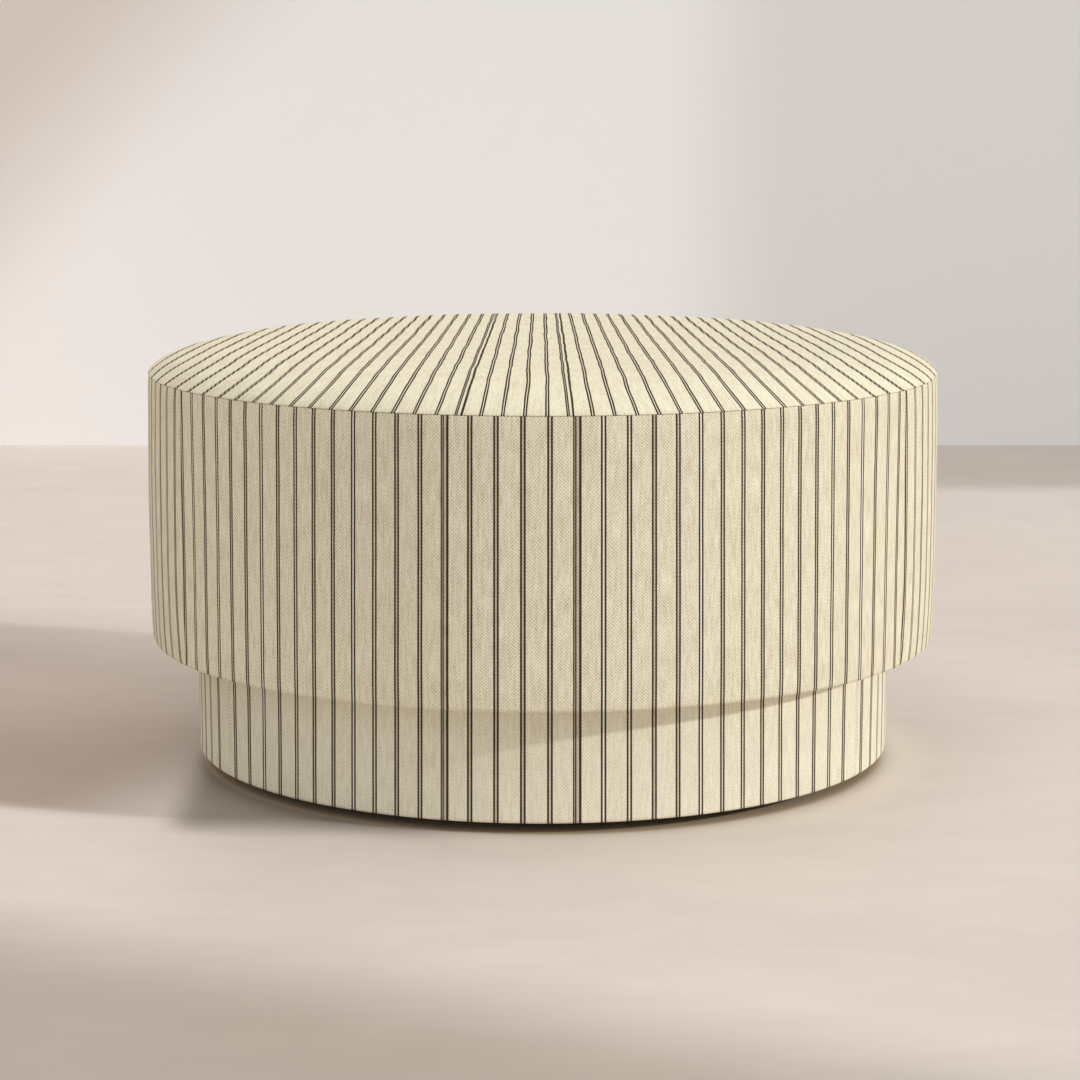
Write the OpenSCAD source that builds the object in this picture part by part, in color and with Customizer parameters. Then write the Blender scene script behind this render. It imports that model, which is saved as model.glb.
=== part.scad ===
// Round upholstered ottoman: a padded drum that overhangs a lower, recessed plinth.
// The front is at -Y, the floor is at z = 0 and the axis of the drum is Z.

/* [Overall] */
// Widest diameter of the drum, over the cloth
drum_d = 900; // [700:10:1100]
// Height of the drum's side, from its underside up to the top seam
side_h = 303; // [220:1:380]
// Height of the crowned top above the top seam
crown_h = 32; // [28:1:60]
// Height of the plinth's cloth
plinth_h = 129; // [90:1:180]
// How far the drum stands out past the plinth
overhang = 52; // [20:1:60]
// Clear height between the floor and the plinth, with the feet screwed in
floor_gap = 12; // [12:1:24]

/* [Cloth] */
// Thickness of the striped cover cloth
cover_t = 1.2; // [0.8:0.1:2]
// How much narrower the drum is at its seam and hem than at its widest part
barrel = 1.8; // [0.5:0.1:6]
// Height of the drum's widest part above its underside
belly_h = 100; // [60:1:160]
// How far the stitches pull the cloth in along the top seam
seam_dip = 0.8; // [0:0.1:1]
// Height over which the side cloth is pulled in below the top seam
seam_dip_h = 6; // [4:0.5:7]
// Radius of the drum's rolled lower edge
hem_r = 10; // [6:0.5:14]
// Radius of the plinth's upper and lower edges
plinth_edge_r = 4; // [3:0.5:6]
// Width of the cloth that is turned in and held between the boards
return_w = 50; // [40:1:60]
// Thickness of the black cloth under the plinth
dust_t = 0.6; // [0.4:0.1:1]

/* [Crown] */
// Diameter of the level middle of the top
crown_flat_d = 500; // [380:2:520]
// How square the shoulder is where it meets the seam
shoulder_out = 4.2; // [2.5:0.05:4.5]
// How full the shoulder is where it meets the level middle
shoulder_up = 1.36; // [1.3:0.02:2]

/* [Filling] */
// Thickness of the wadding on the crown
crown_pad_t = 14; // [8:1:18]
// Thickness of the wadding where it hangs over the foam's edge
crown_hem_t = 5; // [3:0.5:8]
// How far the crown wadding hangs below the seam
crown_hem_h = 7; // [5:0.5:14]
// Height of the foam's upright edge below the seam
foam_edge_h = 37; // [26:1:60]
// Thickness of the foam round the drum's side
side_pad_t = 20; // [15:1:20]
// Thickness of the wadding round the plinth
plinth_pad_t = 5; // [4:0.5:12]

/* [Frame] */
// Thickness of the plywood boards
board_t = 18; // [15:1:22]
// Thickness of the drum's bent plywood wall
drum_wall_t = 5; // [3:0.5:8]
// Thickness of the plinth's bent plywood wall
plinth_wall_t = 6; // [4:0.5:8]
// Width of the ring at the top of the drum
ring_w = 38; // [37:1:60]
// Width of a post, round the frame
post_w = 60; // [40:1:80]
// Depth of a post, towards the middle
post_d = 35; // [30:1:36]
// Width of the ring at the foot of the plinth, round its hand opening
base_ring_w = 157; // [100:1:180]

/* [Deck] */
// Width of a jute web
web_w = 50; // [40:1:60]
// Thickness of a jute web
web_t = 2; // [1.5:0.1:3]
// Number of webs on each side of the middle one
side_webs = 2; // [1:1:2]
// Distance inside the ring that the outermost crossings keep
web_margin = 9; // [6:0.5:20]
// Length of a web's level landing past the edge of the web that it crosses
web_landing = 3; // [1:0.5:6]
// Distance from the ring's outer edge to the cut ends of the webs
web_end_inset = 5; // [2:0.5:12]
// Thickness of the hessian over the webs
deck_t = 1; // [0.6:0.1:2]

/* [Fasteners] */
// Diameter of the bolts and of the feet's threads
thread_d = 8; // [6:1:10]
// Width across the flats of their heads
head_af = 13; // [13:1:17]
// Height of their heads
head_h = 5; // [4:0.25:5]
// Length of a bolt that joins the plinth to the drum
bolt_l = 45; // [44:1:55]
// Distance from the hand opening's edge inwards to the middle of a joining bolt
bolt_inset = 50; // [20:1:90]
// Diameter of a tee nut's flange
tnut_d = 22; // [20:1:26]
// Thickness of a tee nut's flange
tnut_t = 1.3; // [1:0.1:1.6]
// Length of a tee nut's barrel
tnut_l = 10; // [8:0.5:12]
// Diameter of a washer
washer_d = 18; // [16:1:24]
// Thickness of a washer
washer_t = 1.6; // [1.2:0.1:2]
// Diameter of a wood screw's shank
screw_d = 4.4; // [4:0.1:6]
// Length of a wood screw
screw_l = 50; // [40:1:60]
// Number of staples round the black cloth
staples = 36; // [24:1:60]

/* [Feet] */
// Distance from the turned-in cloth of the plinth to the middle of a levelling foot
foot_inset = 20; // [15:1:60]
// Diameter of a foot's pad
foot_d = 38; // [30:1:44]
// Height of a foot's pad
foot_h = 6.2; // [5.8:0.1:6.2]
// Length of a foot's thread above its head
stem_l = 28; // [26:1:40]

/* [Clearances] */
// Gap left between curved layers of the upholstery and the frame
layer_gap = 0.3; // [0.2:0.05:0.4]
// Gap round a shaft or thread that turns or slides in a bore
running_gap = 0.07; // [0.05:0.01:0.1]
// Gap round a nut, screw or bolt in a drilled hole
drill_gap = 0.1; // [0.05:0.05:0.2]

/* [Hidden] */
$fn = 96;

cloth = "#ddd0b0";
wadding = "#f1eee6";
foam = "#efe3a6";
birch_ply = "#dcc096";
beech = "#c99f6b";
jute = "#a98a58";
hessian = "#b79c6c";
cambric = "#1c1c1e";
steel = "#b6babf";
nylon = "#2a2b2d";

panels = 3;
plinth_posts = 6;
drum_posts = 8;
feet = 6;
bolts = 6;
panel_angle = 360 / panels;
front_panel_angle = -90 - panel_angle / 2;
foot_angle = -90;
drum_post_angle = -90 + 180 / drum_posts;
curve_steps = 18;
edge_steps = 6;
tiny = 0.01;

drum_r = drum_d / 2;
edge_r = drum_r - barrel;
plinth_r = drum_r - overhang;
return_r = plinth_r - return_w;
foot_circle_r = return_r - foot_inset;
crown_flat_r = crown_flat_d / 2;

// Heights, from the floor up
plinth_z = floor_gap;
base_ring_z = plinth_z + cover_t;
plinth_top_z = plinth_z + plinth_h;
plinth_lid_z = plinth_top_z - cover_t - board_t;
drum_z = plinth_top_z;
drum_board_z = drum_z + cover_t;
seam_z = drum_z + side_h;
top_z = seam_z + crown_h;
foam_z = seam_z - foam_edge_h;
deck_z = foam_z - deck_t;
web_rise = web_t + layer_gap;
ring_top_z = deck_z - web_rise - web_t;
ring_z = ring_top_z - board_t;
crown_hem_z = seam_z - crown_hem_h;
crown_foam_z = top_z - cover_t - crown_pad_t - 2 * layer_gap;

// Radii of the layers, from the cloth inwards
pad_off = cover_t + layer_gap;
drum_wall_r = edge_r - pad_off - side_pad_t - layer_gap;
drum_board_r = drum_wall_r - drum_wall_t - layer_gap;
ring_in_r = drum_board_r - ring_w;
plinth_pad_r = plinth_r - pad_off - plinth_pad_t;
plinth_wall_r = plinth_pad_r - layer_gap;
plinth_board_r = plinth_wall_r - plinth_wall_t - layer_gap;
hand_r = plinth_board_r - base_ring_w;
bolt_circle_r = hand_r - bolt_inset;

// The drum's upright side bulges a little round its widest part
hem_top_z = drum_z + hem_r;
belly_z = drum_z + belly_h;

// The webs are spaced so that the outermost crossings stay inside the ring
web_reach = (ring_in_r - web_margin) / sqrt(2);
web_pitch = (web_reach - web_w / 2) / side_webs;
web_foot_x = sqrt(pow(ring_in_r, 2) - pow(web_reach, 2)) - layer_gap;

// The feet: the pad stands on the floor, and the stem's head stops short of the tee nut
thread_r = thread_d / 2;
head_r = head_af / 2 / cos(30);
head_stop_gap = 0.4;
head_top_z = base_ring_z - tnut_t - head_stop_gap;
button_rim = 2;
button_r = thread_r + button_rim;
button_h = 2.2;
socket_z = 1.8;
pad_chamfer = 1.5;
pad_rim_z = 3.4;
pad_neck_r = 11;
thread_chamfer = 0.8;

tnut_wall = 1;
tnut_barrel_r = thread_r + tnut_wall;
nut_hole_r = tnut_barrel_r + drill_gap;
screw_rim = 0.4;
staple_w = 10;
staple_t = 0.6;
staple_wire = 1.2;
staple_inset = 22;
dust_inset = 12;
dust_hole_r = tnut_d / 2 + 2;

function reversed(points) = [for (i = [len(points) - 1:-1:0]) points[i]];

function arc(r, z, radius, from, to) =
    [for (i = [0:edge_steps]) let (a = from + (to - from) * i / edge_steps)
        [r + radius * cos(a), z + radius * sin(a)]];

// Radius of the drum's cloth at a height between the rolled hem and the seam
function side_r(z) = drum_r
    - barrel * pow((z - belly_z) / (z > belly_z ? seam_z - belly_z : belly_z - hem_top_z), 2)
    - seam_dip * pow(max(0, 1 - (seam_z - z) / seam_dip_h), 2);

// The last stretch of the side under the seam, drawn in by off, from a height up
function dip_line(off, low) =
    [for (i = [1:edge_steps]) let (z = low + (seam_z - low) * i / edge_steps)
        [side_r(z) - off, z]];

// The drum's side from the underside up to the seam, drawn in by off
function side_line(off) = concat(
    arc(edge_r - hem_r, hem_top_z, hem_r - off, -90, 0),
    [for (i = [1:curve_steps]) let (z = hem_top_z + (crown_hem_z - hem_top_z) * i / curve_steps)
        [side_r(z) - off, z]],
    dip_line(off, crown_hem_z));

// A crown that rises from an upright edge at (edge, low) to a level middle at high
function crown_line(edge, low, high) =
    [for (i = [0:curve_steps]) let (t = 90 * i / curve_steps)
        [crown_flat_r + (edge - crown_flat_r) * pow(cos(t), 2 / shoulder_out),
         low + (high - low) * pow(sin(t), 2 / shoulder_up)]];

// The top cloth's crown, drawn in by off, with the seam pulling its edge in
function top_line(off) = let (line = crown_line(edge_r - off, seam_z, top_z - off))
    concat([[line[0][0] - seam_dip, line[0][1]]], [for (i = [1:curve_steps]) line[i]]);

// The plinth's side with both edges rounded, drawn in by off
function plinth_line(off) = concat(
    arc(plinth_r - plinth_edge_r, plinth_z + plinth_edge_r, plinth_edge_r - off, -90, 0),
    arc(plinth_r - plinth_edge_r, plinth_top_z - plinth_edge_r, plinth_edge_r - off, 0, 90));

module around(count, start) {
    for (i = [0:count - 1]) rotate(start + 360 * i / count) children();
}

module one_of(count, start, number) {
    rotate(start + 360 * (number - 1) / count) children();
}

module band(outer_r, inner_r, z, h) {
    translate([0, 0, z]) rotate_extrude() translate([inner_r, 0]) square([outer_r - inner_r, h]);
}

module panel(number) {
    rotate(front_panel_angle + panel_angle * number)
        rotate_extrude(angle = panel_angle) children();
}

// Wood screw with a countersunk head, its head's face at z = 0 and its point upwards
module wood_screw(slack) {
    r = screw_d / 2;
    rotate_extrude() polygon([
        [0, 0], [2 * r + slack, 0], [2 * r + slack, screw_rim], [r + slack, screw_rim + r],
        [r + slack, screw_l - screw_d], [0, screw_l + slack]]);
}

// Where the wood screws go: up into each post from below, and down into it from above
module screw_pair(r, low, high, slack) {
    translate([r, 0, low + drill_gap]) wood_screw(slack);
    translate([r, 0, high - drill_gap]) mirror([0, 0, 1]) wood_screw(slack);
}

function post_face_r(board_r) = sqrt(pow(board_r, 2) - pow(post_w / 2, 2)) - drill_gap;
function post_mid_r(board_r) = post_face_r(board_r) - post_d / 2;

module post(board_r, z, h) {
    translate([post_face_r(board_r) - post_d, -post_w / 2, z]) cube([post_d, post_w, h]);
}

// Tee nut with its flange's face at z = 0 and its barrel upwards
module tee_nut() {
    rotate_extrude() polygon([
        [thread_r + running_gap, -tnut_t], [tnut_d / 2, -tnut_t], [tnut_d / 2, 0],
        [tnut_barrel_r, 0], [tnut_barrel_r, tnut_l], [thread_r + running_gap, tnut_l]]);
}

module plinth_screw_places(slack) {
    around(plinth_posts, foot_angle)
        screw_pair(post_mid_r(plinth_board_r), base_ring_z, plinth_lid_z + board_t, slack);
}

module drum_screw_places(slack) {
    around(drum_posts, drum_post_angle)
        screw_pair(post_mid_r(drum_board_r), drum_board_z, ring_top_z, slack);
}

module bolt_places() {
    around(bolts, foot_angle) translate([bolt_circle_r, 0, 0]) children();
}

module foot_place(number) {
    one_of(feet, foot_angle, number) translate([foot_circle_r, 0, 0]) children();
}

// Plywood ring at the foot of the plinth, open in the middle so a hand reaches the bolts
module plinth_base_ring() {
    color(birch_ply) difference() {
        band(plinth_board_r, hand_r, base_ring_z, board_t);
        around(feet, foot_angle) translate([foot_circle_r, 0, base_ring_z - tiny])
            cylinder(h = board_t + 2 * tiny, r = nut_hole_r);
        plinth_screw_places(drill_gap);
    }
}

module plinth_top_board() {
    color(birch_ply) difference() {
        translate([0, 0, plinth_lid_z]) cylinder(h = board_t, r = plinth_board_r);
        bolt_places() translate([0, 0, plinth_lid_z - tiny])
            cylinder(h = board_t + 2 * tiny, r = thread_r + drill_gap);
        plinth_screw_places(drill_gap);
    }
}

module plinth_post(number) {
    color(beech) difference() {
        one_of(plinth_posts, foot_angle, number)
            post(plinth_board_r, base_ring_z + board_t, plinth_lid_z - base_ring_z - board_t);
        plinth_screw_places(drill_gap);
    }
}

// Bent plywood skin of the plinth, pinned to the edges of both boards
module plinth_wall() {
    color(birch_ply) band(plinth_wall_r, plinth_wall_r - plinth_wall_t, base_ring_z,
                          plinth_h - 2 * cover_t);
}

module plinth_padding() {
    color(wadding) rotate_extrude() intersection() {
        polygon(concat([[0, plinth_z + pad_off]], plinth_line(pad_off),
                       [[0, plinth_top_z - pad_off]]));
        translate([plinth_pad_r, plinth_z]) square([plinth_pad_t + pad_off, plinth_h]);
    }
}

// Third of the plinth's cloth, turned in over the lid and under the base ring
module plinth_cover(number) {
    color(cloth) panel(number) polygon(concat(
        [[return_r, plinth_z]], plinth_line(0),
        [[return_r, plinth_top_z], [return_r, plinth_top_z - cover_t]],
        reversed(plinth_line(cover_t)), [[return_r, plinth_z + cover_t]]));
}

module plinth_screws() {
    color(steel) plinth_screw_places(0);
}

// Black cloth stapled under the plinth, with a hole for each foot
module dust_cover() {
    color(cambric) difference() {
        translate([0, 0, plinth_z - dust_t]) cylinder(h = dust_t, r = plinth_r - dust_inset);
        around(feet, foot_angle) translate([foot_circle_r, 0, plinth_z - dust_t - tiny])
            cylinder(h = dust_t + 2 * tiny, r = dust_hole_r);
    }
}

module dust_cover_staples() {
    color(steel) around(staples, foot_angle + 180 / staples)
        translate([plinth_r - staple_inset, 0, plinth_z - dust_t - staple_t / 2])
            cube([staple_wire, staple_w, staple_t], center = true);
}

module drum_base_board() {
    color(birch_ply) difference() {
        translate([0, 0, drum_board_z]) cylinder(h = board_t, r = drum_board_r);
        bolt_places() translate([0, 0, drum_board_z - tiny])
            cylinder(h = board_t + 2 * tiny, r = nut_hole_r);
        drum_screw_places(drill_gap);
    }
}

module drum_top_ring() {
    color(birch_ply) difference() {
        band(drum_board_r, ring_in_r, ring_z, board_t);
        drum_screw_places(drill_gap);
    }
}

module drum_post(number) {
    color(beech) difference() {
        one_of(drum_posts, drum_post_angle, number)
            post(drum_board_r, drum_board_z + board_t, ring_z - drum_board_z - board_t);
        drum_screw_places(drill_gap);
    }
}

// Bent plywood skin of the drum, set up a little so that the hem can roll under it
module drum_wall() {
    lift = hem_r - sqrt(pow(hem_r - cover_t, 2) - pow(max(0, drum_wall_r - edge_r + hem_r), 2));
    low_z = drum_z + lift + layer_gap;
    color(birch_ply) band(drum_wall_r, drum_wall_r - drum_wall_t, low_z, ring_top_z - low_z);
}

module side_padding() {
    color(wadding) rotate_extrude() intersection() {
        polygon(concat([[0, drum_z + pad_off]], side_line(pad_off), [[0, seam_z]]));
        translate([drum_wall_r + layer_gap, drum_z])
            square([side_pad_t + barrel + pad_off, foam_z - layer_gap - drum_z]);
    }
}

module drum_screws() {
    color(steel) drum_screw_places(0);
}

module joining_bolts() {
    head_z = plinth_lid_z - washer_t - head_h;
    color(steel) bolt_places() {
        translate([0, 0, head_z]) cylinder(h = head_h, r = head_r, $fn = 6);
        translate([0, 0, head_z + head_h - tiny])
            cylinder(h = bolt_l - thread_chamfer + tiny, r = thread_r);
        translate([0, 0, head_z + head_h + bolt_l - thread_chamfer - tiny])
            cylinder(h = thread_chamfer, r1 = thread_r, r2 = thread_r - thread_chamfer);
    }
}

module joining_washers() {
    color(steel) bolt_places()
        band(washer_d / 2, thread_r + drill_gap, plinth_lid_z - washer_t, washer_t);
}

module joining_tee_nuts() {
    color(steel) bolt_places()
        translate([0, 0, drum_board_z + board_t]) mirror([0, 0, 1]) tee_nut();
}

// Points along a web's underside: each crossing is a landing at one of two levels
function web_line(number, other) = concat(
    [[-drum_board_r, 0], [-web_foot_x, 0]],
    [for (i = [-side_webs:side_webs]) for (s = [-1, 1])
        [web_pitch * i + s * (web_w / 2 + web_landing),
         (i + number + other + 2 * side_webs) % 2 == 0 ? web_rise : 0]],
    [[web_foot_x, 0], [drum_board_r, 0]]);

// One direction of the woven webs, trimmed round the ring that they are stapled to
module webs(other) {
    intersection() {
        for (number = [-side_webs:side_webs]) {
            low = web_line(number, other);
            high = [for (p = reversed(low)) [p[0], p[1] + web_t]];
            translate([0, web_pitch * number + web_w / 2, ring_top_z]) rotate([90, 0, 0])
                linear_extrude(web_w) polygon(concat(low, high));
        }
        translate([0, 0, ring_z]) cylinder(h = board_t + foam_edge_h, r = drum_board_r - web_end_inset);
    }
}

module webbing_lengthwise() {
    color(jute) rotate(90) webs(0);
}

module webbing_crosswise() {
    color(jute) webs(1);
}

module deck_cloth() {
    color(hessian) translate([0, 0, deck_z]) cylinder(h = deck_t, r = drum_board_r);
}

// Foam disc that runs out to the cloth, with a rebated and crowned upper edge
module seat_foam() {
    low_side = [for (i = [0:edge_steps]) let (z = foam_z + (crown_hem_z - foam_z) * i / edge_steps)
        [side_r(z) - pad_off, z]];
    color(foam) rotate_extrude() polygon(concat(
        [[0, foam_z]], low_side,
        crown_line(edge_r - seam_dip - pad_off - crown_hem_t - layer_gap, crown_hem_z, crown_foam_z),
        [[0, crown_foam_z]]));
}

module crown_wadding() {
    low_z = crown_hem_z + layer_gap;
    color(wadding) rotate_extrude() polygon(concat(
        [[side_r(low_z) - pad_off, low_z]], dip_line(pad_off, low_z),
        [for (i = [1:curve_steps]) top_line(pad_off)[i]], [[0, top_z - pad_off]],
        [[0, crown_foam_z + layer_gap]],
        reversed(crown_line(edge_r - seam_dip - pad_off - crown_hem_t, low_z,
                            crown_foam_z + layer_gap))));
}

// Third of the drum's side cloth, rolled round the hem and held under the base board
module side_cover(number) {
    color(cloth) panel(number) polygon(concat(
        [[return_r, drum_z]], side_line(0),
        reversed(side_line(cover_t)), [[return_r, drum_z + cover_t]]));
}

module top_cover() {
    color(cloth) rotate_extrude() polygon(concat(
        top_line(0), [[0, top_z], [0, top_z - cover_t]], reversed(top_line(cover_t))));
}

module foot_tee_nuts() {
    color(steel) around(feet, foot_angle)
        translate([foot_circle_r, 0, base_ring_z]) tee_nut();
}

// Stem of a levelling foot: a button that turns in the pad, a head for the spanner, a thread
module foot_stem(number) {
    top = head_top_z + stem_l;
    color(steel) foot_place(number) {
        translate([0, 0, socket_z + drill_gap]) cylinder(h = button_h, r = button_r);
        translate([0, 0, socket_z + button_h]) cylinder(
            h = top - thread_chamfer - socket_z - button_h, r = thread_r);
        translate([0, 0, top - thread_chamfer - tiny])
            cylinder(h = thread_chamfer, r1 = thread_r, r2 = thread_r - thread_chamfer);
        translate([0, 0, head_top_z - head_h]) cylinder(h = head_h, r = head_r, $fn = 6);
    }
}

// Nylon pad of a levelling foot, snapped over the button of its stem
module foot_pad(number) {
    r = foot_d / 2;
    socket_r = button_r + running_gap;
    neck_r = thread_r + running_gap;
    roof_z = socket_z + button_h + 2 * drill_gap;
    color(nylon) foot_place(number) rotate_extrude() polygon([
        [0, 0], [r - pad_chamfer, 0], [r, pad_chamfer], [r, pad_rim_z], [pad_neck_r, foot_h],
        [neck_r, foot_h], [neck_r, roof_z], [socket_r, roof_z], [socket_r, socket_z],
        [0, socket_z]]);
}

plinth_base_ring();
plinth_top_board();
plinth_wall();
plinth_padding();
plinth_post(1);  // plinth_post_1
plinth_post(2);  // plinth_post_2
plinth_post(3);  // plinth_post_3
plinth_post(4);  // plinth_post_4
plinth_post(5);  // plinth_post_5
plinth_post(6);  // plinth_post_6
plinth_cover(0);  // plinth_cover_front
plinth_cover(1);  // plinth_cover_right
plinth_cover(2);  // plinth_cover_left
plinth_screws();
dust_cover();
dust_cover_staples();
drum_base_board();
drum_top_ring();
drum_wall();
side_padding();
drum_post(1);  // drum_post_1
drum_post(2);  // drum_post_2
drum_post(3);  // drum_post_3
drum_post(4);  // drum_post_4
drum_post(5);  // drum_post_5
drum_post(6);  // drum_post_6
drum_post(7);  // drum_post_7
drum_post(8);  // drum_post_8
drum_screws();
joining_bolts();
joining_washers();
joining_tee_nuts();
webbing_lengthwise();
webbing_crosswise();
deck_cloth();
seat_foam();
crown_wadding();
side_cover(0);  // side_cover_front
side_cover(1);  // side_cover_right
side_cover(2);  // side_cover_left
top_cover();
foot_tee_nuts();
foot_stem(1);  // foot_stem_1
foot_stem(2);  // foot_stem_2
foot_stem(3);  // foot_stem_3
foot_stem(4);  // foot_stem_4
foot_stem(5);  // foot_stem_5
foot_stem(6);  // foot_stem_6
foot_pad(1);  // foot_pad_1
foot_pad(2);  // foot_pad_2
foot_pad(3);  // foot_pad_3
foot_pad(4);  // foot_pad_4
foot_pad(5);  // foot_pad_5
foot_pad(6);  // foot_pad_6
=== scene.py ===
import math

import bmesh
import bpy
from mathutils import Matrix, Vector, kdtree, noise


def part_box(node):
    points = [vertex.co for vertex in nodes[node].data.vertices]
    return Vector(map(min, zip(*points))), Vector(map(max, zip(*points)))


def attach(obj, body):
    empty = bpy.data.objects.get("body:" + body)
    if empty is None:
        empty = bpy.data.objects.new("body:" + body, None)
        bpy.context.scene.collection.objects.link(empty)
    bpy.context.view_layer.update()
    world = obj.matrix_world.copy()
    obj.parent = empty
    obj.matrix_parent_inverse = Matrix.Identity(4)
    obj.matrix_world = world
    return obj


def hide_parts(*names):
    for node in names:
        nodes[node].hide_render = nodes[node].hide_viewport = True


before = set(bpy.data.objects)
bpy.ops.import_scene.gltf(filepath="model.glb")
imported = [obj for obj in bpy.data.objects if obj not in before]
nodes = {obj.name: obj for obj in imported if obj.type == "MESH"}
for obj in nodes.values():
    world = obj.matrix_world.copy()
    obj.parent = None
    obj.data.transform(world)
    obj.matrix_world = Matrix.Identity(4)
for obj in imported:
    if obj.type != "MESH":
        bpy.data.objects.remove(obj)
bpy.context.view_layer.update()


# Photographer's camera: a long lens at standing height, square to the front of the ottoman and
# tipped down a little. Its place and lens come from the outlines of the drum and the plinth.
camera_place = (-0.003, -3.349, 0.8076)
camera_dip = math.radians(9.5527)
camera_lens = 97.845

camera = bpy.data.objects.new("camera", bpy.data.cameras.new("camera"))
bpy.context.scene.collection.objects.link(camera)
camera.location = camera_place
camera.rotation_euler = (math.pi / 2 - camera_dip, 0, 0)
camera.data.lens = camera_lens
camera.data.sensor_width = 36
bpy.context.scene.camera = camera
bpy.context.scene.view_settings.view_transform = "Standard"


# Studio: a pale plaster floor that runs back to a plain pale wall, both with soft darker patches
# of painted shade. Painted shade also deepens the ottoman's shadow on the floor and darkens the
# floor by and under the plinth's foot, and painted light brightens the floor round its front. The
# light is soft and even, with a low key from the right that draws the overhang's shadow on the
# plinth, a faint broad window light from the left and some light from overhead. The wall's colour
# also glows a little, as painted light: it has no lamp of its own.
wall_y = 2.620
floor_reach = 9.0
key_azimuth = math.radians(71)
key_height = math.radians(22)
key_strength = 1.50
key_width = math.radians(2.5)
window_azimuth = math.radians(-45)
window_height = math.radians(10)
window_strength = 0.27
window_width = math.radians(60)
top_strength = 1.18
top_width = math.radians(70)
sky_strength = 0.505
painted_wall_glow = 0.050


class Wire:
    """One socket of a finish's node tree, so that shader sums read as plain Python."""

    def __init__(self, tree, socket=None):
        self.tree, self.socket = tree, socket

    def node(self, kind, values=None, out=0, **settings):
        """Adds a node of that kind: its settings first, then a number or a wire to each socket."""
        made = self.tree.nodes.new(kind)
        for name, value in settings.items():
            setattr(made, name, value)
        for name, value in (values or {}).items():
            if isinstance(value, Wire):
                self.tree.links.new(value.socket, made.inputs[name])
            else:
                made.inputs[name].default_value = value
        return Wire(self.tree, made.outputs[out])

    def maths(self, operation, *values):
        return self.node("ShaderNodeMath", dict(enumerate(values)), operation=operation)

    def __add__(self, other):
        return self.maths("ADD", self, other)

    def __sub__(self, other):
        return self.maths("SUBTRACT", self, other)

    def __rsub__(self, other):
        return self.maths("SUBTRACT", other, self)

    def __mul__(self, other):
        return self.maths("MULTIPLY", self, other)

    def __truediv__(self, other):
        return self.maths("DIVIDE", self, other)

    def __abs__(self):
        return self.maths("ABSOLUTE", self)

    __radd__ = __add__
    __rmul__ = __mul__

    def wave(self):
        """Sine of a count of turns."""
        return self.maths("SINE", self * (2 * math.pi))

    def rise(self, low, high):
        """Smooth step from 0 at low to 1 at high."""
        return self.node("ShaderNodeMapRange", {"Value": self, "From Min": low, "From Max": high},
                         interpolation_type="SMOOTHSTEP")

    def speckle(self, scale, detail=2.0, stretch=(1, 1, 1), roughness=0.5):
        """Cloudy noise, from 0 to 1, on a place that is stretched first."""
        place = self.node("ShaderNodeVectorMath", {0: self, 1: stretch}, operation="MULTIPLY")
        return self.node("ShaderNodeTexNoise", {"Vector": place, "Scale": scale, "Detail": detail,
                                                "Roughness": roughness})

    def axes(self):
        return [self.node("ShaderNodeSeparateXYZ", {0: self}, out=i) for i in range(3)]


def tint(code):
    """Linear colour of a written one such as c0a080."""
    parts = [int(code[i:i + 2], 16) / 255 for i in (0, 2, 4)]
    return tuple(p / 12.92 if p < 0.04045 else ((p + 0.055) / 1.055) ** 2.4 for p in parts) + (1,)


def mixed(share, low, high):
    """Colour between low and high."""
    wire = next(w for w in (share, low, high) if isinstance(w, Wire))
    return wire.node("ShaderNodeMix", {0: share, 6: low, 7: high}, out=2, data_type="RGBA")


class Finish:
    """A material under way: constants go straight on its shader, and wires into it."""

    def __init__(self, name, **constants):
        self.material = bpy.data.materials.new(name)
        self.material.use_nodes = True
        self.tree = self.material.node_tree
        self.shader = self.tree.nodes["Principled BSDF"]
        for socket, value in constants.items():
            self.shader.inputs[socket.replace("_", " ")].default_value = value
        self.start = Wire(self.tree)

    def place(self):
        return self.start.node("ShaderNodeTexCoord", out=3)

    def surface(self, layer):
        return self.start.node("ShaderNodeUVMap", uv_map=layer)

    def feed(self, socket, wire):
        self.tree.links.new(wire.socket, self.shader.inputs[socket])

    def relief(self, height, depth, strength=1.0):
        bump = height.node("ShaderNodeBump", {"Height": height, "Distance": depth,
                                              "Strength": strength})
        self.feed("Normal", bump)


def built(shape, name, finish):
    """The bmesh as a smooth-shaded object with its finish, in the scene."""
    mesh = bpy.data.meshes.new(name)
    for face in shape.faces:
        face.smooth = True
    shape.to_mesh(mesh)
    shape.free()
    mesh.materials.append(finish)
    piece = bpy.data.objects.new(name, mesh)
    bpy.context.scene.collection.objects.link(piece)
    return piece


plaster = Finish("floor_plaster", Roughness=0.42, Specular_IOR_Level=0.4)
spot = plaster.place()
cloud = spot.speckle(1.3, 6, stretch=(1, 1.6, 1), roughness=0.6)
fleck = spot.speckle(9, 5, stretch=(1, 2.2, 1), roughness=0.6)
trowelled = mixed(cloud.rise(0.3, 0.7) * 0.6 + fleck.rise(0.3, 0.75) * 0.4, tint("d7cbc3"),
                  tint("e3d8cf"))
across, back, _ = spot.axes()
# Painted shade: the floor darkens towards the camera and in a band far back on the right.
near_shade = (0 - back - across * 0.48).rise(0.82, 1.12) * 0.43
far_shade = back.rise(1.93, 2.12) * across.rise(0.2, 0.6) * 0.37
painted_shade_floor = mixed(near_shade + far_shade, trowelled, tint("5b4f2c"))
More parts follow.
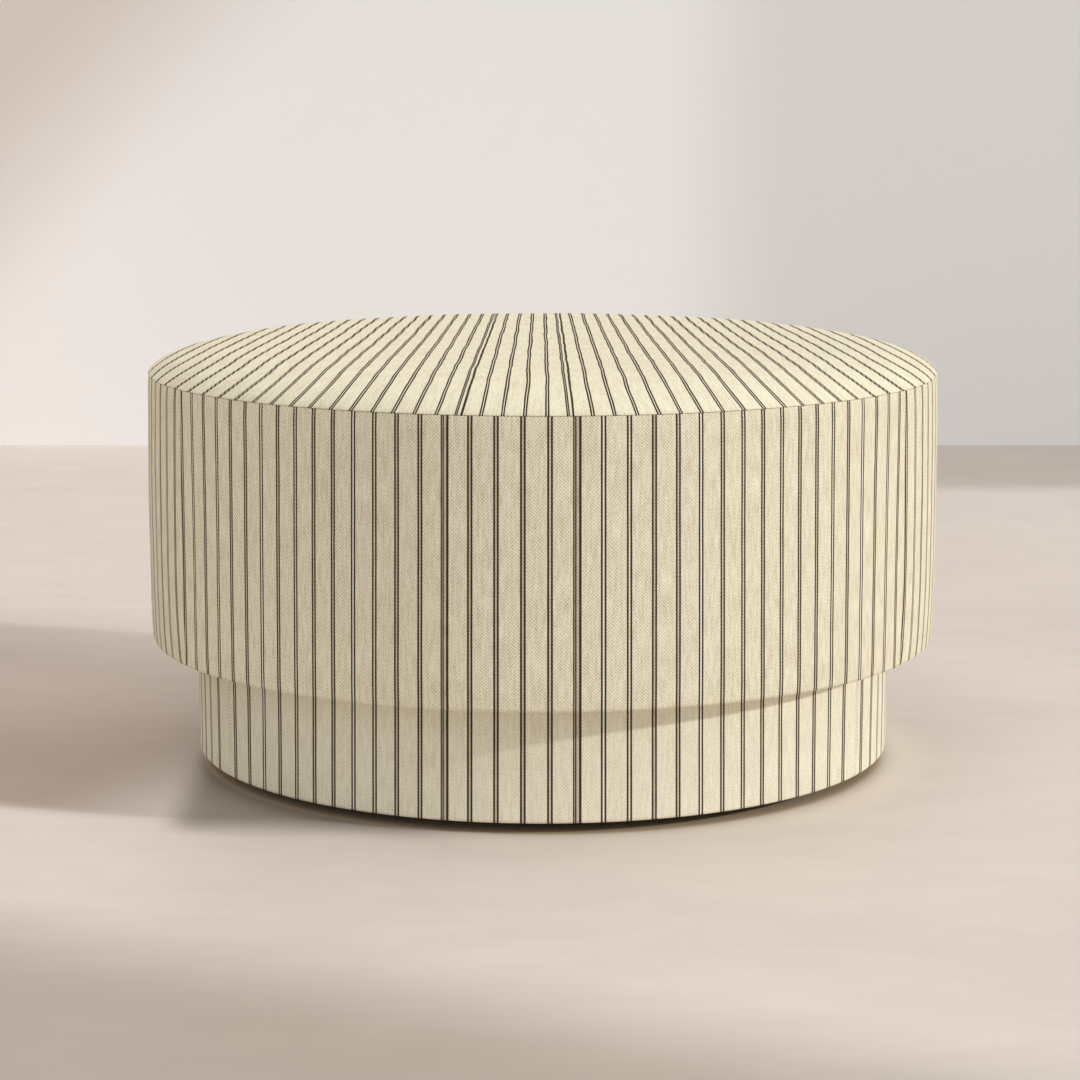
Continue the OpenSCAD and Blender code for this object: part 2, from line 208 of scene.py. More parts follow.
# Painted shadow: the ottoman's cast shadow on the floor to its left is deepened in the floor's
# colour, with a sharp near edge.
shadow_side = across * math.cos(key_azimuth) + back * math.sin(key_azimuth)
shadow_run = back * math.cos(key_azimuth) - across * math.sin(key_azimuth)
near_side = 0 - shadow_side
cast_shade = shadow_side.rise(0.64, 0.22) * near_side.rise(0.475, 0.425) * \
    (near_side.rise(-0.15, 0.25) * 0.16 + 0.36) * shadow_run.rise(0.25, 0.45)
shaded = mixed(cast_shade, painted_shade_floor, tint("84603b"))
distance = across.maths("SQRT", across * across + back * back)
# Painted shade: a dark brown patch on the floor by the plinth's foot at the front left.
painted_base_shade = (across + 0.385).rise(-0.03, 0.02) * (0 - across).rise(0.08, 0.16) * \
    (0 - back).rise(0.42, 0.33) * (0 - back).rise(0, 0.1) * distance.rise(0.60, 0.50)
painted_base_shaded = mixed(painted_base_shade * 0.60, shaded, tint("3d2e10"))
# Painted light: a paler ring of floor round the plinth's foot at the front and right.
painted_light_floor = mixed(distance.rise(0.47, 0.398) * across.rise(-0.14, -0.04) * 0.55, painted_base_shaded, tint("fff3e6"))
# Painted shade: the floor under the plinth is tinted brown.
plaster.feed("Base Color", mixed(distance.rise(0.400, 0.388), painted_light_floor, tint("d7bfa0")))
shape = bmesh.new()
bmesh.ops.create_grid(shape, x_segments=1, y_segments=1, size=floor_reach)
floor = built(shape, "floor", plaster.material)

paint = Finish("wall_paint", Roughness=0.9, Emission_Strength=painted_wall_glow)
across, _, up = paint.place().axes()
# Painted light and shade on the wall: paler to the left, greyer to the right and a warm shade in
# the top left corner.
lit = mixed((0 - across).rise(0.45, 1.10), tint("f4f3f1"), tint("fbf7f4"))
even = mixed(across.rise(0.20, 0.52), lit, tint("e2e0de"))
painted_wall_shade = mixed((up - across).rise(1.25, 1.88) * 0.9, even, tint("dbcfc6"))
paint.feed("Base Color", painted_wall_shade)
# Painted light: the wall glows in its own colour, though no lamp is in it.
paint.feed("Emission Color", painted_wall_shade)
shape = bmesh.new()
bmesh.ops.create_grid(shape, x_segments=1, y_segments=1, size=floor_reach)
bmesh.ops.rotate(shape, verts=shape.verts, cent=(0, 0, 0),
                 matrix=Matrix.Rotation(math.pi / 2, 3, "X"))
bmesh.ops.translate(shape, verts=shape.verts, vec=(0, wall_y, 0))
behind = paint.start.node("ShaderNodeNewGeometry", out=6)
clear = paint.start.node("ShaderNodeBsdfTransparent")
painted = Wire(paint.tree, paint.shader.outputs[0])
wall_shader = behind.node("ShaderNodeMixShader", {0: behind, 1: painted, 2: clear})
paint.tree.links.new(wall_shader.socket, paint.tree.nodes["Material Output"].inputs["Surface"])
wall = built(shape, "wall", paint.material)


def lamp(name, azimuth, height, strength, width):
    """Far lamp, azimuth from the front towards the right, that lights at strength over width."""
    light = bpy.data.lights.new(name, "SUN")
    light.energy, light.angle = strength, width
    holder = bpy.data.objects.new(name, light)
    bpy.context.scene.collection.objects.link(holder)
    towards = Vector((math.sin(azimuth) * math.cos(height), -math.cos(azimuth) * math.cos(height),
                      math.sin(height)))
    holder.rotation_euler = towards.to_track_quat("Z", "Y").to_euler()
    holder.location = towards * 4


lamp("key", key_azimuth, key_height, key_strength, key_width)
lamp("window", window_azimuth, window_height, window_strength, window_width)
lamp("overhead", 0, math.radians(90), top_strength, top_width)
world = bpy.data.worlds.new("studio")
bpy.context.scene.world = world
world.use_nodes = True
world.node_tree.nodes["Background"].inputs["Color"].default_value = (1, 1, 1, 1)
world.node_tree.nodes["Background"].inputs["Strength"].default_value = sky_strength


# Frame boards: birch plywood, one board on top of each frame and one below, with bent plywood
# skins pinned round them. Their faces show rotary veneer and their edges the crossed plies.
ply_pitch = 0.0029

birch = Finish("birch_ply", Roughness=0.62)
spot = birch.place()
figure = spot.speckle(9, 5, stretch=(1, 9, 9))
veneer = mixed(figure.rise(0.35, 0.7), tint("e0c79d"), tint("c9a878"))
_, _, up = spot.axes()
core = mixed((up / ply_pitch).wave().rise(-0.4, 0.4), tint("a9835a"), tint("dcc39a"))
_, _, facing = birch.start.node("ShaderNodeNewGeometry", out=1).axes()
birch.feed("Base Color", mixed(abs(facing).rise(0.4, 0.6), core, veneer))
birch.relief(figure, 0.0004)

bent_birch = Finish("bent_ply", Roughness=0.6)
spot = bent_birch.place()
figure = spot.speckle(16, 5, stretch=(6, 6, 0.7))
bent_birch.feed("Base Color", mixed(figure.rise(0.35, 0.7), tint("e3cba2"), tint("cdae80")))
bent_birch.relief(figure, 0.0004)


def thickened(piece, thick, side=-1):
    """Gives a sheet its thickness, inwards from its outer face or, with side 0, about it."""
    wall = piece.modifiers.new("thickness", "SOLIDIFY")
    wall.thickness, wall.offset = thick, side


def refinish(finish, *names):
    """Gives CAD nodes their finish."""
    for name in names:
        for slot in nodes[name].material_slots:
            slot.material = finish.material


refinish(birch, "plinth_base_ring", "plinth_top_board", "drum_base_board", "drum_top_ring")
refinish(bent_birch, "plinth_wall", "drum_wall")


# Posts: planed beech blocks, six in the plinth and eight in the drum, screwed through the
# boards at both ends. The grain runs up the post, with the small dark flecks of beech.
beech = Finish("planed_beech", Roughness=0.55)
spot = beech.place()
grain = spot.speckle(22, 4, stretch=(5, 5, 0.4))
fleck = spot.speckle(160, 1, stretch=(1, 1, 0.22)).rise(0.66, 0.74)
beech.feed("Base Color", mixed(fleck * 0.45, mixed(grain.rise(0.3, 0.7), tint("d9b183"),
                                                   tint("c2935f")), tint("8d5f3a")))
beech.relief(grain, 0.0003)
refinish(beech, *[name for name in nodes if "_post_" in name])


# Steel parts: zinc-plated screws, bolts, washers, tee nuts, staples and the stems of the feet,
# with the cloudy, slightly brushed look of bright zinc.
zinc = Finish("bright_zinc", Metallic=1.0)
spot = zinc.place()
bloom = spot.speckle(120, 4)
zinc.feed("Base Color", mixed(bloom, tint("b4b8bd"), tint("d3d5d8")))
zinc.feed("Roughness", bloom * 0.25 + 0.22)
zinc.relief(spot.speckle(900, 2), 0.00005)
refinish(zinc, "plinth_screws", "drum_screws", "joining_bolts", "joining_washers",
         "joining_tee_nuts", "dust_cover_staples", "foot_tee_nuts",
         *[name for name in nodes if name.startswith("foot_stem_")])


# Feet pads: black moulded nylon discs that snap over the stems' buttons, with a matt finish.
nylon = Finish("black_nylon", Roughness=0.48)
spot = nylon.place()
nylon.feed("Base Color", mixed(spot.speckle(60, 3), tint("232426"), tint("313236")))
nylon.relief(spot.speckle(1500, 2), 0.00006)
refinish(nylon, *[name for name in nodes if name.startswith("foot_pad_")])


# Webs: five jute straps each way over the drum's top ring, woven over and under each other,
# strained, stapled to the ring and trimmed round it. Each has a darker selvedge line.
web_width = 0.050
web_thick = 0.002
web_rise = 0.0023
web_gap = 0.1198
web_end_inset = 0.005
web_landing = 0.003
webs_aside = 2

jute = Finish("jute_webbing", Roughness=0.88)
cross, along, _ = jute.surface("weave").axes()
over = (cross / 0.0034).wave() * (along / 0.0034).wave()
strand = jute.surface("weave").speckle(700, 2, stretch=(1, 0.2, 1))
selvedge = abs(abs(cross) - 0.0185).rise(0.0016, 0.001)
jute.feed("Base Color", mixed(selvedge * 0.7, mixed(over.rise(-0.6, 0.6) * 0.6 + strand * 0.4,
                                                    tint("8b6d41"), tint("b8965f")),
                              tint("5c3f25")))
jute.relief(over + strand, 0.0004)

ring_low, ring_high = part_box("drum_top_ring")


def web_lift(distance, number, other):
    """How far a web is lifted at a distance from its middle, to pass over the webs below it."""
    reach = web_width / 2 + web_landing
    i = math.floor(distance / web_gap + 0.5)
    side = 1 if distance > i * web_gap else -1
    levels = [0 if abs(j) > webs_aside else (j + number + other) % 2 for j in (i, i + side)]
    levels = [1 - level if abs(j) <= webs_aside else 0 for level, j in zip(levels, (i, i + side))]
    run = min(max((abs(distance - i * web_gap) - reach) / (web_gap - 2 * reach), 0), 1)
    ease = run * run * (3 - 2 * run)
    return web_rise * (levels[0] * (1 - ease) + levels[1] * ease)


def webbing(name, other, turn):
    """The five straps of one direction, as one piece."""
    shape = bmesh.new()
    layer = shape.loops.layers.uv.new("weave")
    trim = ring_high.x - web_end_inset
    for number in range(-webs_aside, webs_aside + 1):
        middle = number * web_gap
        strap = bmesh.ops.create_grid(shape, x_segments=150, y_segments=6, size=1)["verts"]
        for vert in strap:
            y = middle + vert.co.y * web_width / 2
            x = vert.co.x * math.sqrt(trim ** 2 - y ** 2)
            fray = 0.0004 * noise.noise(Vector((x * 40, y * 300, number)))
            vert.co = (x, y, ring_high.z + web_lift(x, number, other) + web_thick / 2 + fray / 4)
        for face in {face for vert in strap for face in vert.link_faces}:
            for loop in face.loops:
                loop[layer].uv = (loop.vert.co.y - middle, loop.vert.co.x)
    bmesh.ops.rotate(shape, verts=shape.verts, cent=(0, 0, 0), matrix=Matrix.Rotation(turn, 3, "Z"))
    piece = built(shape, name, jute.material)
    thickened(piece, web_thick, 0)
    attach(piece, "frame")
    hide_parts(name)


webbing("webbing_lengthwise", 0, math.pi / 2)
webbing("webbing_crosswise", 1, 0)


# Deck: one layer of plain hessian stretched over the webs and stapled to the ring, which keeps
# the foam from bulging down between the straps.
hessian = Finish("plain_hessian", Roughness=0.9)
spot = hessian.place()
x, y, _ = spot.axes()
warp = spot.speckle(60, 2, stretch=(12, 0.6, 1))
weft = spot.speckle(60, 2, stretch=(0.6, 12, 1))
thread = (x / 0.0021 + warp * 0.6).wave() * (y / 0.0021 + weft * 0.6).wave()
hole = thread.rise(-0.55, -0.9)
hessian.feed("Base Color", mixed(hole * 0.7, mixed(warp * 0.5 + weft * 0.5, tint("c9ad7c"),
                                                   tint("a5875a")), tint("4b3a23")))
hessian.relief(thread, 0.0004)


def turned(outline, start=0.0, turn=360.0, steps=240):
    """A skin turned round the ottoman's axis from an outline of (radius, height) points."""
    shape = bmesh.new()
    a = math.radians(start)
    line = [shape.verts.new((r * math.cos(a), r * math.sin(a), z)) for r, z in outline]
    edges = [shape.edges.new(pair) for pair in zip(line, line[1:])]
    bmesh.ops.spin(shape, geom=line + edges, cent=(0, 0, 0), axis=(0, 0, 1),
                   angle=math.radians(turn), steps=steps, use_merge=turn == 360.0)
    bmesh.ops.remove_doubles(shape, verts=shape.verts, dist=1e-6)
    bmesh.ops.recalc_face_normals(shape, faces=shape.faces)
    middle = Vector((0, 0, sum(z for _, z in outline) / len(outline)))
    if sum(f.normal.dot(f.calc_center_median() - middle) * f.calc_area() for f in shape.faces) < 0:
        bmesh.ops.reverse_faces(shape, faces=shape.faces)
    return shape


def steps_between(low, high, count):
    return [low + (high - low) * i / count for i in range(count + 1)]


deck_low, deck_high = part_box("deck_cloth")
deck_thick = deck_high.z - deck_low.z
shape = turned([(r, deck_high.z) for r in steps_between(0, deck_high.x, 20)], steps=144)
if shape.faces[:][0].normal.z < 0:
    bmesh.ops.reverse_faces(shape, faces=shape.faces)
deck_area = sum(face.calc_area() for face in shape.faces)
deck = built(shape, "deck_cloth", hessian.material)
thickened(deck, deck_thick)
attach(deck, "frame")
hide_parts("deck_cloth")


# Seat foam: one disc of cream polyurethane foam that runs out to the cloth, its upper edge
# rebated and crowned so that the wadding can wrap over it. The saw leaves fine open cells.
drum_r = 0.450
barrel = 0.0018
seam_dip = 0.0008
cloth_thick = 0.0012
layer_gap = 0.0003
crown_flat_r = 0.250
shoulder_out = 4.2
shoulder_up = 1.36
hem_r = 0.005
belly_h = 0.100
crown_pad = 0.014
crown_hem = 0.005
seam_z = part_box("top_cover")[0].z
crown_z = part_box("top_cover")[1].z
drum_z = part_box("side_cover_front")[0].z
edge_r = drum_r - barrel
pad_off = cloth_thick + layer_gap
hem_top_z = drum_z + hem_r
belly_z = drum_z + belly_h

foam = Finish("seat_foam", Roughness=0.95)
spot = foam.place()
cells = spot.node("ShaderNodeTexVoronoi", {"Vector": spot, "Scale": 520.0})
foam.feed("Base Color", mixed(cells.rise(0.1, 0.55) * 0.6 + spot.speckle(20, 3) * 0.4,
                              tint("f3e9ba"), tint("e2d08c")))
foam.relief(cells, 0.0006)


def side_radius(z):
    """Radius of the drum's cloth at a height between the rolled hem and the seam."""
    reach = seam_z - belly_z if z > belly_z else belly_z - hem_top_z
    return drum_r - barrel * ((z - belly_z) / reach) ** 2


def crown(edge, low, high, count=30):
    """Outline of a crown from its upright edge up to its level middle."""
    angles = [math.pi / 2 * i / count for i in range(count)]
    return [(crown_flat_r + (edge - crown_flat_r) * math.cos(a) ** (2 / shoulder_out),
             low + (high - low) * math.sin(a) ** (2 / shoulder_up)) for a in angles] + \
        [(crown_flat_r, high)]


def inwards(radius, z, count=8):
    """Level run of an outline from a radius to the axis, without its first point."""
    return [(r, z) for r in steps_between(radius, 0, count)][1:]


def roughened(shape, depth, grain):
    """Presses a pad's skin in by up to depth, unevenly, as soft filling has."""
    shape.normal_update()
    for vert in shape.verts:
        press = noise.fractal(vert.co / grain, 1.0, 2.0, 3) * 0.5 + 0.5
        vert.co -= vert.normal * depth * min(max(press, 0), 1)


def pad(name, outline, finish, depth, grain):
    """A turned pad of filling that stands for its CAD node."""
    shape = turned(outline, steps=288)
    roughened(shape, depth, grain)
    piece = built(shape, name, finish.material)
    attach(piece, "frame")
    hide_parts(name)


foam_low_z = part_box("seat_foam")[0].z
foam_high_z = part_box("seat_foam")[1].z
crown_hem_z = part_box("crown_wadding")[0].z - layer_gap
foam_side = [(side_radius(z) - pad_off, z) for z in steps_between(foam_low_z, crown_hem_z, 10)]
foam_crown = crown(edge_r - seam_dip - pad_off - crown_hem - layer_gap, crown_hem_z, foam_high_z)
pad("seat_foam", [(0, foam_low_z)] + inwards(foam_side[0][0], foam_low_z)[-2::-1] + foam_side
    + foam_crown + inwards(crown_flat_r, foam_high_z), foam, 0.0006, 0.05)


# Wadding: white polyester fibre, laid over the foam's crown and hung over its edge, and wound
# round the walls of the drum and the plinth, so that the cloth lies soft and even.
seam_notch = 0.0026
notch_height = 0.0014

fibre = Finish("fibre_wadding", Roughness=0.96)
spot = fibre.place()
strands = spot.speckle(140, 6, stretch=(1, 1, 0.35), roughness=0.7)
fibre.feed("Base Color", mixed(strands, tint("e4e2dc"), tint("faf9f5")))
fibre.relief(strands, 0.0015)

low_z = crown_hem_z + layer_gap
hem_side = [(side_radius(z) - pad_off, z) for z in
            steps_between(low_z, seam_z - notch_height, 6)]
inner_crown = crown(edge_r - seam_dip - pad_off - crown_hem, low_z, foam_high_z + layer_gap)
outer_crown = crown(edge_r - pad_off, seam_z + notch_height, crown_z - pad_off)
pad("crown_wadding", inwards(crown_flat_r, foam_high_z + layer_gap)[::-1] + inner_crown[::-1]
    + hem_side + [(edge_r - pad_off - seam_notch, seam_z)] + outer_crown
    + inwards(crown_flat_r, crown_z - pad_off), fibre, 0.0008, 0.03)


def arc(r, z, radius, low, high, count=10):
    return [(r + radius * math.cos(math.radians(a)), z + radius * math.sin(math.radians(a)))
            for a in steps_between(low, high, count)]


wall_r = edge_r - pad_off - 0.020
side_top_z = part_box("side_padding")[1].z
hem_line = [p for p in arc(edge_r - hem_r, hem_top_z, hem_r - pad_off, -90, 0) if p[0] > wall_r]
pad_line = hem_line + [(side_radius(z) - pad_off, z) for z in
                       steps_between(hem_top_z, side_top_z, 16)[1:]]
pad("side_padding", pad_line + [(wall_r, z) for z in
                                steps_between(side_top_z, pad_line[0][1], 16)] + pad_line[:1],
    fibre, 0.0008, 0.03)

plinth_r = -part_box("plinth_cover_front")[0].y
plinth_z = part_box("plinth_cover_front")[0].z
plinth_top_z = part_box("plinth_cover_front")[1].z
plinth_edge = 0.004
plinth_pad = 0.005
pad_r = plinth_r - pad_off
bend = plinth_edge - pad_off
outer = arc(pad_r - bend, plinth_z + plinth_edge, bend, -90, 0, 4) \
    + arc(pad_r - bend, plinth_top_z - plinth_edge, bend, 0, 90, 4)
inner = [(pad_r - plinth_pad, z) for z in steps_between(outer[-1][1], outer[0][1], 8)]
pad("plinth_padding", outer + inner + outer[:1], fibre, 0.0006, 0.03)


# Swell of the cloth: the drum's whole skin is blown up as one cloth, held where it is sewn and
# under the drum. The covers then take this swell, cut down to what tight cloth over firm filling
# has. It starts a little uneven, so that its creases fall in the same places on each run.
swell_pressure = 4.0
swell_moments = 20
swell_out = 0.0007
swell_in = 0.0002
start_depth = 0.0002
start_grain = 0.03
return_r = plinth_r - 0.050
seam_angles = (-30, 90, 210)


def from_seam(angle):
    """Degrees from an angle round the drum to the nearest upright seam."""
    return min(abs((angle - seam + 180) % 360 - 180) for seam in seam_angles)


def blown_skin():
    """Points of the drum's skin in a tree, and how far each stands out once it is blown up."""
    rim_r = edge_r - hem_r
    line = [(r, drum_z) for r in steps_between(0, rim_r, 14)] \
        + arc(rim_r, hem_top_z, hem_r, -90, 0, 4)[1:] \
        + [(side_radius(z), z) for z in steps_between(hem_top_z, seam_z, 28)][1:] \
        + crown(edge_r, seam_z, crown_z, 20)[1:] + inwards(crown_flat_r, crown_z)
    shape = turned(line)
    mesh = bpy.data.meshes.new("skin")
    shape.to_mesh(mesh)
    shape.free()
    skin = bpy.data.objects.new("skin", mesh)
    bpy.context.scene.collection.objects.link(skin)
    held = []
    for vert in mesh.vertices:
        x, y, z = vert.co
        r = math.hypot(x, y)
        under = z < drum_z + 1e-4
        upright = z < seam_z and r > return_r and from_seam(math.degrees(math.atan2(y, x))) < 0.5
        if under or upright or abs(z - seam_z) < 1e-4:
            held.append(vert.index)
    normals = [vert.normal.copy() for vert in mesh.vertices]
    for vert, normal in zip(mesh.vertices, normals):
        vert.co += normal * start_depth * noise.noise(vert.co / start_grain)
    skin.vertex_groups.new(name="held").add(held, 1.0, "REPLACE")
    cloth = skin.modifiers.new("swell", "CLOTH")
    cloth.settings.vertex_group_mass = "held"
    cloth.settings.use_pressure = True
    cloth.settings.uniform_pressure_force = swell_pressure
    cloth.settings.effector_weights.gravity = 0
    cloth.point_cache.frame_end = swell_moments
    for moment in range(1, swell_moments + 1):
        bpy.context.scene.frame_set(moment)
    swollen = skin.evaluated_get(bpy.context.evaluated_depsgraph_get()).to_mesh()
    tree = kdtree.KDTree(len(mesh.vertices))
    rises = []
    for vert, moved in zip(mesh.vertices, swollen.vertices):
        tree.insert(vert.co, vert.index)
        rises.append(min(max((moved.co - vert.co).dot(vert.normal), -swell_in), swell_out))
    tree.balance()
    bpy.data.objects.remove(skin)
    bpy.data.meshes.remove(mesh)
    bpy.context.scene.frame_set(1)
    return tree, rises


skin_tree, skin_rises = blown_skin()


def swell_at(place):
    """How far the blown skin stands out at a place: the mean of its nearest points."""
    if skin_tree is None:
        return 0.0
    found = [(skin_rises[index], 1 / (reach + 1e-5))
             for _, index, reach in skin_tree.find_n(place, 4)]
    return sum(rise * share for rise, share in found) / sum(share for _, share in found)


# Striped cover cloth: cream cotton ticking with pairs of dark brown pinstripes and now and then
# a triple one, some with pale yarns between. It is a slubby twill whose lean turns round once;
# on the plinth it is painted paler, as painted light under the drum's overhang. The top's
# pinstripes wander a little, and are broken at its sides.
stripe_pitch = 0.0248
pair_half = 0.00172
line_half = 0.00092
soft = 0.00015
triple_stripes = (-4, 1)
triple_lines = ((-0.0030, 0.0007), (-0.0012, 0.0007), (0.0030, 0.0012))
twill_pitch = 0.0034
lean_turns_at = -8
seam_draw = 0.18
seam_tuck = 0.0011
uneven_depth = 0.0005
pucker_depth = 0.00010
pucker_reach = 0.007
pucker_inner_r = 0.3
wander_out = 0.20
top_closer = 0.00045
top_finer = 0.00008
dash_pitch = 0.0042
dash_depth = 0.42
pale_spread = 0.0003
top_length = 2.0
top_rate = 5.682
top_first = 0.021
top_step = 0.0991
spread_back = 3.172
spread_down = 4.524
let_go_from = 0.65
let_go_over = 0.90
let_go_rate = 70
look_from = 3.4
fan_rate = 0.055
fan_from = 0.34
panel_stripes = 38
panel_first = 0.260
pinned_once = 0.215
pinned_twice = 0.156

ticking = Finish("striped_ticking", Roughness=0.88, Specular_IOR_Level=0.25)
weave = ticking.surface("weave")
count, along, _ = weave.axes()
on_top = along.maths("GREATER_THAN", along, top_length / 2)
across, _, up = ticking.place().axes()
wander = weave.speckle(1, 2, stretch=(0.8, 12, 1)) - 0.5
stripes = count + wander * on_top * wander_out
number = count.maths("FLOOR", stripes + 0.5)
spread = (top_length - along) / spread_back + 1 + (crown_z - up) * spread_down
off = (stripes - number) * (stripe_pitch * (1 - on_top) + spread * on_top * (top_step / top_rate))
own = number.node("ShaderNodeTexWhiteNoise", {"W": number}, noise_dimensions="1D")
near_line = abs(abs(off) - pair_half + on_top * top_closer) + on_top * top_finer
pair = near_line.rise(line_half + soft, line_half - soft)
triple = None
for middle, half in triple_lines:
    line = abs(off - middle).rise(half + soft, half - soft)
    triple = line if triple is None else triple.maths("MAXIMUM", triple, line)
is_triple = number.maths("COMPARE", number, float(triple_stripes[0]), 0.1) + \
    number.maths("COMPARE", number, float(triple_stripes[1]), 0.1)
dark = pair * (1 - is_triple) + triple * is_triple
between = abs(off).rise(pair_half + pale_spread, pair_half - pale_spread)
aside = (abs(count) + (along - top_length) * 16).rise(5, 13) * on_top
closed = between * aside
between = between * (1 - on_top)

lean = (count - lean_turns_at).rise(-0.04, 0.04) * 2 - 1
cross = count * stripe_pitch
coarse = 1.06 - lean * 0.06
yarns = weave.speckle(1, 2, stretch=(2.5, 60, 1))
twill = ((cross + lean * along) / twill_pitch / coarse + yarns * 0.9).wave()
counter = ((cross - lean * along * 0.8) / twill_pitch / coarse - yarns * 0.9).wave()
slub = weave.speckle(1, 2, stretch=(8, 45, 1), roughness=0.6)
cloud = weave.speckle(1, 2, stretch=(0.9, 34, 1))
grit = weave.speckle(1, 1, stretch=(9, 360, 1))
hatch = twill.rise(-1, 1) * 0.27 + counter.rise(-1, 1) * 0.15
streak = weave.speckle(1, 1, stretch=(11, 34, 1)).rise(0.3, 0.7) * (1 - on_top * 0.6)
tone = hatch * (1 - on_top * 0.75) + on_top * 0.21 + grit * 0.32 + slub * 0.34 + streak * 0.13 \
    + cloud * 0.20
ground = mixed(tone.rise(0.165, 1.085), tint("b8a686"), tint("fff9de"))
pale = own.rise(0.78, 0.95) * between
brown = (1 - own.rise(0.45, 0.8)) * between * 0.4
# Painted light: the cloth on the plinth, below the drum, is mixed towards a paler cream.
ground = mixed((drum_z - up).rise(0, 0.005) * 0.30, ground, tint("fffcea"))
ground = mixed(pale * 0.8, mixed(brown, ground, tint("85755a")), tint("fdf6ee"))
yarn = mixed(slub.rise(0.3, 0.7), tint("261a0c"), tint("3d2c17"))
dark = dark.maths("MAXIMUM", dark, closed)
dashes = (across / dash_pitch).wave().rise(-0.6, 0.6) * aside * dash_depth
ticking.feed("Base Color", mixed(dark * (0.98 - dashes), ground, yarn))
ticking.relief(hatch * 1.6 + slub + dark * 0.8, 0.00020, 0.8)


def stripe_at(angle):
    """Stripe count on the drum at an angle from the middle of a panel, in degrees. The stripes
    are a little further apart at the panel's middle, where the cloth was first pinned."""
    turn = math.radians(3 * angle)
    return panel_stripes * angle / 120 - panel_first - pinned_once * math.sin(turn) \
        - pinned_twice * math.sin(2 * turn)


def stripe_from(angle, radius, height):
    """Stripe count at a radius and height, where the stripes run straight down the drum and on
    down the plinth for someone who stands in front of the panel, at the distance look_from."""
    turn = math.radians(angle)
    sight = math.atan2(radius * math.sin(turn), look_from - radius * math.cos(turn))
    on_drum = math.asin(look_from * math.sin(sight) / drum_r) - sight
    fan = fan_rate * (fan_from - height) * (1 - (angle / 60) ** 4) ** 2
    return stripe_at(math.degrees(math.asin(math.sin(on_drum) * (1 - fan))))


def unevenness(place, depth, grain):
    """Soft swell of the filling under the cloth."""
    return depth * noise.fractal(place / grain, 1.0, 2.0, 2)


def pucker(place, angle, away):
    """Small draw of the round seam's stitches, at an angle in degrees and away from the seam."""
    reach = math.exp(-away / pucker_reach)
    return pucker_depth * reach * math.sin(angle * 19 + 3 * noise.noise(place * 25))


def panel(name, outline, middle_angle, steps, seam_z=None):
    """Third of a turned cover: its ends are drawn in at the upright seams, and its stripes are
    laid round it from its middle. Puckers fade out below the seam at seam_z."""
    shape = turned(outline, middle_angle - 60, 120.0, steps)
    layer = shape.loops.layers.uv.new("weave")
    step = 120 / steps
    places = {}
    for vert in shape.verts:
        x, y, z = vert.co
        r = math.hypot(x, y)
        angle = (math.degrees(math.atan2(y, x)) - middle_angle + 180) % 360 - 180
        left = 60 - abs(angle)
        places[vert] = (stripe_from(angle, min(r, drum_r), z), z + r - outline[-1][0])
        if left < 1.5 * step:
            angle = math.copysign(60 - left * seam_draw, angle)
        tuck = seam_tuck if left < 0.5 * step else 0
        swell = unevenness(vert.co, uneven_depth, 0.12) * min(left / 6, 1)
        if seam_z is not None:
            swell += swell_at(vert.co) + pucker(vert.co, angle, seam_z - z)
        a = math.radians(angle + middle_angle)
        grown = (r - tuck + (swell if r > outline[0][0] + 0.04 else 0)) / r
        vert.co = (r * grown * math.cos(a), r * grown * math.sin(a), z)
    for face in shape.faces:
        for loop in face.loops:
            loop[layer].uv = places[loop.vert]
    shape.normal_update()
    area = sum(face.calc_area() for face in shape.faces)
    piece = built(shape, name, ticking.material)
    thickened(piece, cloth_thick)
    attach(piece, "frame")
    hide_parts(name)
    high = sum(math.dist(p, q) for p, q in zip(outline, outline[1:]))
    wide = math.radians(120) * max(r for r, _ in outline)
    min(area, wide * high)
    return piece


# Plinth covers: three panels of the ticking round the recessed plinth, seamed together, and
# turned in over the plinth's lid and under its base ring, where they are stapled.
panel_angles = {"front": -90, "right": 30, "left": 150}
plinth_line = [(r, plinth_z) for r in steps_between(return_r, plinth_r - plinth_edge, 6)][:-1] \
    + arc(plinth_r - plinth_edge, plinth_z + plinth_edge, plinth_edge, -90, 0, 6) \
    + [(plinth_r, z) for z in steps_between(plinth_z + plinth_edge, plinth_top_z - plinth_edge,
                                            24)][1:-1] \
    + arc(plinth_r - plinth_edge, plinth_top_z - plinth_edge, plinth_edge, 0, 90, 6) \
    + [(r, plinth_top_z) for r in steps_between(plinth_r - plinth_edge, return_r, 6)][1:]
for side, middle_angle in panel_angles.items():
    panel("plinth_cover_" + side, plinth_line, middle_angle, 240)


# Side covers: three panels of the ticking round the padded drum. They are seamed to the top
# along the shoulder, rolled over the drum's soft lower edge and held under its base board.
side_line = [(r, drum_z) for r in steps_between(return_r, edge_r - hem_r, 10)][:-1] \
    + arc(edge_r - hem_r, hem_top_z, hem_r, -90, 0, 14) \
    + [(side_radius(z), z) for z in steps_between(hem_top_z, seam_z - 0.0014, 36)][1:] \
    + [(edge_r - 0.0001, seam_z - 0.0007), (edge_r - 0.0003, seam_z - 0.0003),
       (edge_r - 0.0008, seam_z - 0.0001), (edge_r - 0.0014, seam_z - 0.00005)]
for side, middle_angle in panel_angles.items():
    panel("side_cover_" + side, side_line, middle_angle, 320, seam_z)


